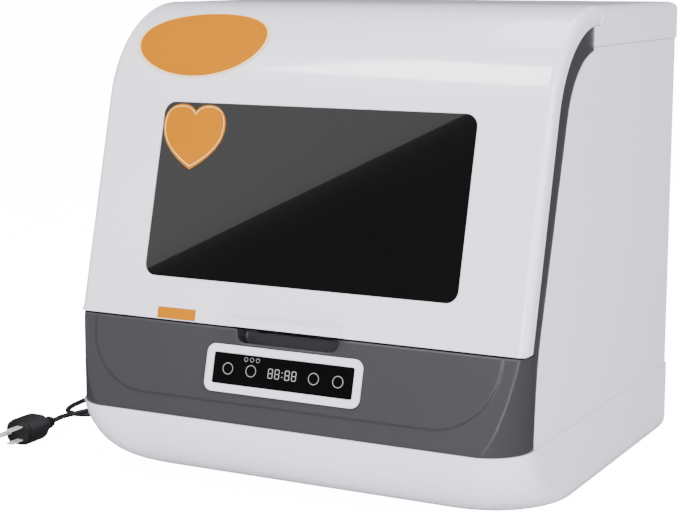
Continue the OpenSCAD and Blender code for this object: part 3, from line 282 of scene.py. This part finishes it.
def slab(bm, loop, thick, m, hole=None, slot_index=0):
    """A flat plate with the outline loop; with an inner loop of equal count it is a band."""
    n = len(loop)

    def ring(points, height):
        return [bm.verts.new((m @ Vector((x, y, height))) * MM) for x, y in points]

    top, low = ring(loop, thick), ring(loop, 0.0)
    faces = [bm.faces.new((top[i], low[i], low[(i + 1) % n], top[(i + 1) % n])) for i in range(n)]
    if hole:
        hole_top, hole_low = ring(hole, thick), ring(hole, 0.0)
        for i in range(n):
            j = (i + 1) % n
            faces.append(bm.faces.new((top[i], top[j], hole_top[j], hole_top[i])))
            faces.append(bm.faces.new((low[j], low[i], hole_low[i], hole_low[j])))
            faces.append(bm.faces.new((hole_top[i], hole_top[j], hole_low[j], hole_low[i])))
    else:
        faces.append(bm.faces.new(top))
        faces.append(bm.faces.new(list(reversed(low))))
    for f in faces:
        f.material_index = slot_index


def circle(r, n, cy=0.0):
    return [(r * math.cos(FULL_TURN * i / n), cy + r * math.sin(FULL_TURN * i / n)) for i in range(n)]


# ---------- marks on the display: touch fields, small rings and four plain digits with a colon ----------

PANEL_Z, PANEL_OUT = 116.0, 1.2  # the panel's middle, and how far it stands out of the leaning face
INK = 0.06
KEYS_X, KEY_R, KEY_HOLE_R = (-53.3, -30.5, 30.2, 53.2), 5.1, 4.5
DOTS_X, DOTS_UP, DOT_R, DOT_HOLE_R = (-36.3, -30.5, -24.7), 9.2, 1.9, 1.5
DIGITS_X, DIGIT_W, DIGIT_H = (-11.4, -4.9, 4.9, 11.4), 4.6, 8.4
SEG_W, SEG_GAP = 0.62, 0.12
COLON_R, COLON_UP = 0.5, 1.9

ink = material("print", (0.20, 0.205, 0.215), 0.5, grain=2500.0, bump=0.02, tone=0.05, bevel=0.0)
ink_digit = material("digits", (0.26, 0.265, 0.275), 0.45, grain=2500.0, bump=0.02, tone=0.05, bevel=0.0)

bm = bmesh.new()
for x in KEYS_X:
    slab(bm, circle(KEY_R, 64), INK, on_face(x, PANEL_Z, PANEL_OUT), circle(KEY_HOLE_R, 64))
for x in DOTS_X:
    slab(bm, circle(DOT_R, 32), INK, on_face(x, PANEL_Z + DOTS_UP, PANEL_OUT), circle(DOT_HOLE_R, 32))
add_piece("touch_marks", to_mesh(bm, "touch_marks"), "body", ink)


def segment(a, b):
    """A six-cornered bar from a to b."""
    a, b = Vector(a), Vector(b)
    along = (b - a).normalized()
    half = along * SEG_W / 2
    side = Vector((-along.y, along.x)) * SEG_W / 2
    a, b = a + along * SEG_GAP, b - along * SEG_GAP
    return [tuple(p) for p in (a, a + half - side, b - half - side, b, b - half + side, a + half + side)]


bm = bmesh.new()
w, h = DIGIT_W / 2 - SEG_W / 2, DIGIT_H / 2 - SEG_W / 2
for x in DIGITS_X:
    for a, b in (((-w, h), (w, h)), ((-w, 0), (w, 0)), ((-w, -h), (w, -h)),
                 ((-w, 0), (-w, h)), ((w, 0), (w, h)), ((-w, -h), (-w, 0)), ((w, -h), (w, 0))):
        slab(bm, segment(a, b), INK, on_face(x, PANEL_Z, PANEL_OUT))
for y in (-COLON_UP, COLON_UP):
    slab(bm, circle(COLON_R, 20, y), INK, on_face(0, PANEL_Z, PANEL_OUT))
add_piece("display_digits", to_mesh(bm, "display_digits"), "body", ink_digit)


# ---------- painted shade: a black strip in the gap under the lid and a black ring round the bezel ---

SIDE_X, CORNER_R = 215.0, 40.0
GAP_SHADE_IN, GAP_SHADE_DEEP, GAP_SHADE_TOP, GAP_SHADE_LOW = 0.35, 1.2, LID_Z - 0.1, LID_Z - 1.45
BEZEL_SHADE_W, BEZEL_SHADE_H, BEZEL_SHADE_R, BEZEL_SHADE_RIM, BEZEL_SHADE_T = 151.0, 42.0, 8.5, 0.7, 0.25


def plan_curve(set_in, n=24):
    """The frame's outline at the lid's lower edge, set in: the leaning face, then the round corners."""
    y0, r = face_y(LID_Z) + set_in, CORNER_R - set_in
    cx, cy = SIDE_X - CORNER_R, FRONT_Y + CHIN + CORNER_R
    start = math.acos((cy - y0) / r)
    right = [(cx + r * math.sin(a), cy - r * math.cos(a))
             for a in (start + (math.pi / 2 - start) * i / n for i in range(n + 1))]
    return [(-px, py) for px, py in reversed(right)] + right


def rounded(w, h, r, n=12):
    """A rectangle with round corners."""
    out = []
    for cx, cy, a0 in ((w / 2 - r, h / 2 - r, 0), (r - w / 2, h / 2 - r, 90), (r - w / 2, r - h / 2, 180),
                       (w / 2 - r, r - h / 2, 270)):
        angles = [math.radians(a0 + 90 * i / n) for i in range(n + 1)]
        out += [(cx + r * math.cos(a), cy + r * math.sin(a)) for a in angles]
    return out


# The strip in the gap under the lid's lower edge is painted shade along that gap.
bm = bmesh.new()
outer, inner = plan_curve(GAP_SHADE_IN), plan_curve(GAP_SHADE_IN + GAP_SHADE_DEEP)
grid = [[bm.verts.new(Vector((*q, z)) * MM) for q in edge]
        for edge, z in ((outer, GAP_SHADE_LOW), (outer, GAP_SHADE_TOP), (inner, GAP_SHADE_TOP), (inner, GAP_SHADE_LOW))]
for i in range(len(outer) - 1):
    for k in range(4):
        bm.faces.new((grid[k][i], grid[k][i + 1], grid[(k + 1) % 4][i + 1], grid[(k + 1) % 4][i]))
for i in (0, -1):
    bm.faces.new([row[i] for row in grid])
# The thin ring round the bezel is painted shade along its gap.
slab(bm, rounded(BEZEL_SHADE_W, BEZEL_SHADE_H, BEZEL_SHADE_R), BEZEL_SHADE_T, on_face(0, PANEL_Z),
     rounded(BEZEL_SHADE_W - 2 * BEZEL_SHADE_RIM, BEZEL_SHADE_H - 2 * BEZEL_SHADE_RIM, BEZEL_SHADE_R - BEZEL_SHADE_RIM))
# Near-black, so that these strips paint the shade of the gaps under the lid and round the bezel.
gap_shade_black = material("gap_shade_black", (0.002, 0.002, 0.002), 0.85, grain=1400.0, bump=0.10, tone=0.10,
                      bevel=0.0, shine=0.1)
add_piece("gap_shade_strips", to_mesh(bm, "gap_shade_strips"), "body", gap_shade_black)


# ---------- labels: plain shapes, with a pale line and nothing printed on them ----------

GLASS_OUT = -0.6  # the glass is set back in the face
FILM, LINED_FILM = 0.30, 0.34  # height of a plain film, and of the line and the oval that carries one
HEART_X, HEART_Z, HEART_LINE_IN, HEART_LINE_END = -118.5, 313.4, 1.6, 2.2
SLIP_X, SLIP_Z, SLIP_OUT, SLIP_W, SLIP_H = -112.5, 156.6, 0.02, 39, 10
OVAL_X, OVAL_A, OVAL_B, OVAL_TILT = -130.0, 68.0, 40.0, math.radians(45.0)
OVAL_SIDES = 96
OVAL_RINGS = (0.25, 0.5, 0.7, 0.85, 0.955, 1.0)  # shares of the outline; the last band is the pale line


def heart(inset, n=16):
    """A full heart as three curves a side; inset draws it inward for the pale line."""
    w, top, notch, tip = 32 - inset, 23.7 - inset, 17.8 - 1.6 * inset, -34.4 + 1.5 * inset
    runs = (((0, notch), (4, top - 1), (9, top), (14, top)),
            ((14, top), (25, top), (w, 16), (w, 5)),
            ((w, 5), (w, -10), (20 - inset, -23.5 + inset), (0, tip)))
    half = []
    for a, b, c, d in runs:
        for i in range(n):
            t = i / n
            k = ((1 - t) ** 3, 3 * t * (1 - t) ** 2, 3 * t * t * (1 - t), t ** 3)
            half.append(tuple(k[0] * a[q] + k[1] * b[q] + k[2] * c[q] + k[3] * d[q] for q in (0, 1)))
    return half + [(0, tip)] + [(-x, y) for x, y in reversed(half[1:])]


def crown_point(u, v, lift):
    """Point on the crown, u across and v along its arc from the middle of the oval label."""
    a = OVAL_TILT + v / CROWN_R
    r = CROWN_R + lift
    return Vector((OVAL_X + u, CROWN_Y - r * math.cos(a), CROWN_Z + r * math.sin(a))) * MM


def oval_ring(bm, share, lift):
    """The oval's outline at a share of its size."""
    turns = [FULL_TURN * i / OVAL_SIDES for i in range(OVAL_SIDES)]
    return [bm.verts.new(crown_point(OVAL_A * share * math.cos(a), OVAL_B * share * math.sin(a), lift))
            for a in turns]


bm = bmesh.new()
on_glass = on_face(HEART_X, HEART_Z, GLASS_OUT)
slab(bm, heart(0.0), FILM, on_glass)
slab(bm, heart(HEART_LINE_IN), LINED_FILM, on_glass, heart(HEART_LINE_END), slot_index=1)
slab(bm, [(x * SLIP_W / 2, y * SLIP_H / 2) for x, y in ((-1, -1), (1, -1), (1, 1), (-1, 1))], FILM,
     on_face(SLIP_X, SLIP_Z, SLIP_OUT))

rings = [oval_ring(bm, share, LINED_FILM) for share in OVAL_RINGS]
mid = bm.verts.new(crown_point(0, 0, LINED_FILM))
skirt = oval_ring(bm, 1.0, 0.0)
for i in range(OVAL_SIDES):
    j = (i + 1) % OVAL_SIDES
    bm.faces.new((mid, rings[0][i], rings[0][j]))
    for a, b in zip(rings, rings[1:]):
        f = bm.faces.new((a[i], b[i], b[j], a[j]))
        f.material_index = 1 if b is rings[-1] else 0
    bm.faces.new((rings[-1][i], skirt[i], skirt[j], rings[-1][j]))

pale = material("label_line", (0.75, 0.55, 0.30), 0.42, grain=1500.0, bump=0.02, tone=0.03, bevel=0.0)
labels = add_piece("plain_labels", to_mesh(bm, "plain_labels"), "lid", MAT["labels"])
labels.data.materials.append(pale)
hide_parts("lid_labels")


# ---------- stage: a softbox whose edge the window glass mirrors as the photograph's diagonal ----------

BOX_FAR, BOX_W, BOX_PAST, BOX_GLOW = 3.0, 1.6, 0.6, 1.3  # BOX_PAST: how far its edge runs on at both ends
EDGE_FROM, EDGE_TO, LIT_SIDE = (150, 267), (468, 113), (200, 150)  # pixels of the photograph


def mirrored(u, v):
    """The point BOX_FAR away that the window glass mirrors at pixel (u, v)."""
    d = Vector(((u - PHOTO_MID[0]) / PHOTO_FOCAL, -(v - PHOTO_MID[1]) / PHOTO_FOCAL, -1.0))
    d = (cam.rotation_euler.to_matrix() @ d).normalized()
    normal = Vector((0, -math.cos(LEAN), math.sin(LEAN)))
    on_lid = Vector((0, face_y(LID_Z), LID_Z)) * MM
    t = (on_lid - cam.location).dot(normal) / d.dot(normal)
    return cam.location + d * t + (d - 2 * d.dot(normal) * normal) * BOX_FAR


edge_a, edge_b = mirrored(*EDGE_FROM), mirrored(*EDGE_TO)
along = (edge_b - edge_a).normalized()
side = mirrored(*LIT_SIDE) - edge_a
side = (side - along * side.dot(along)).normalized() * BOX_W
edge_a, edge_b = edge_a - along * BOX_PAST, edge_b + along * BOX_PAST
box_mesh = bpy.data.meshes.new("softbox")
box_mesh.from_pydata([edge_a, edge_b, edge_b + side, edge_a + side], [], [(0, 1, 2, 3)])
box_mat = bpy.data.materials.new("softbox")
box_mat.use_nodes = True
bt = box_mat.node_tree
bt.nodes.clear()
em = bt.nodes.new("ShaderNodeEmission")
em.inputs["Strength"].default_value = BOX_GLOW
bt.links.new(em.outputs["Emission"], bt.nodes.new("ShaderNodeOutputMaterial").inputs["Surface"])
box_mesh.materials.append(box_mat)
box = new_object("softbox", box_mesh)
box.visible_camera = False
box.visible_diffuse = False
box.visible_shadow = False


# ---------- stage: lamps, sky and floor ----------

LAMPS_AIM = Vector((0, 0, 0.2))
for name, place, size, power in (("key", (-1.0, -1.5, 2.6), 0.8, 56), ("fill", (2.4, -1.2, 1.5), 1.6, 100),
                                 ("top", (0.0, 0.5, 2.6), 1.6, 54), ("front", (0.9, -2.6, 0.7), 1.2, 34)):
    lamp_data = bpy.data.lights.new(name, "AREA")
    lamp_data.shape = "RECTANGLE"
    lamp_data.size, lamp_data.size_y = size, size
    lamp_data.energy = power
    lamp = new_object(name, lamp_data)
    lamp.location = place
    look(lamp, LAMPS_AIM - lamp.location)

# A soft spot that lifts the lower front a little.
pool_data = bpy.data.lights.new("pool", "SPOT")
pool_data.energy = 330
pool_data.spot_size = math.radians(10)
pool_data.spot_blend = 1.0
pool_data.shadow_soft_size = 0.3
pool = new_object("pool", pool_data)
pool.location = (0.3, -2.5, 0.7)
look(pool, Vector((0.02, -0.19, 0.19)) - pool.location)

# The sky lights the part evenly, but is dim in mirrored rays, so that the black glass stays black.
SKY, SKY_IN_GLOSS = 0.95, 0.10
world = bpy.data.worlds.new("studio")
bpy.context.scene.world = world
world.use_nodes = True
wt = world.node_tree
bright, dim = wt.nodes["Background"], wt.nodes.new("ShaderNodeBackground")
for node, strength in ((bright, SKY), (dim, SKY_IN_GLOSS)):
    node.inputs["Color"].default_value = (1, 1, 1, 1)
    node.inputs["Strength"].default_value = strength
mix = wt.nodes.new("ShaderNodeMixShader")
wt.links.new(wt.nodes.new("ShaderNodeLightPath").outputs["Is Glossy Ray"], mix.inputs["Fac"])
wt.links.new(bright.outputs["Background"], mix.inputs[1])
wt.links.new(dim.outputs["Background"], mix.inputs[2])
wt.links.new(mix.outputs["Shader"], wt.nodes["World Output"].inputs["Surface"])

# The floor glows more to the camera than to the part, so that it is as white as the photograph's ground.
FLOOR_HALF, FLOOR_Z = 30.0, -0.0002
FLOOR_GLOW, FLOOR_GLOW_SEEN = 0.6, 16.0
bm = bmesh.new()
bmesh.ops.create_grid(bm, x_segments=8, y_segments=8, size=FLOOR_HALF)
floor_mesh = bpy.data.meshes.new("floor")
bm.to_mesh(floor_mesh)
bm.free()
floor = new_object("floor", floor_mesh)
floor.location = (0, 0, FLOOR_Z)
floor.visible_glossy = False
floor_mat = material("floor", (0.90, 0.90, 0.90), 0.8, grain=60.0, bump=0.0, tone=0.004, bevel=0.0)
ft, floor_bs = floor_mat.node_tree, node_of(floor_mat, "BSDF_PRINCIPLED")
floor_bs.inputs["Emission Color"].default_value = (0.90, 0.90, 0.90, 1)
glow = ft.nodes.new("ShaderNodeMapRange")
glow.inputs["To Min"].default_value = FLOOR_GLOW
glow.inputs["To Max"].default_value = FLOOR_GLOW_SEEN
ft.links.new(ft.nodes.new("ShaderNodeLightPath").outputs["Is Camera Ray"], glow.inputs["Value"])
ft.links.new(glow.outputs["Result"], floor_bs.inputs["Emission Strength"])
floor_mesh.materials.append(floor_mat)
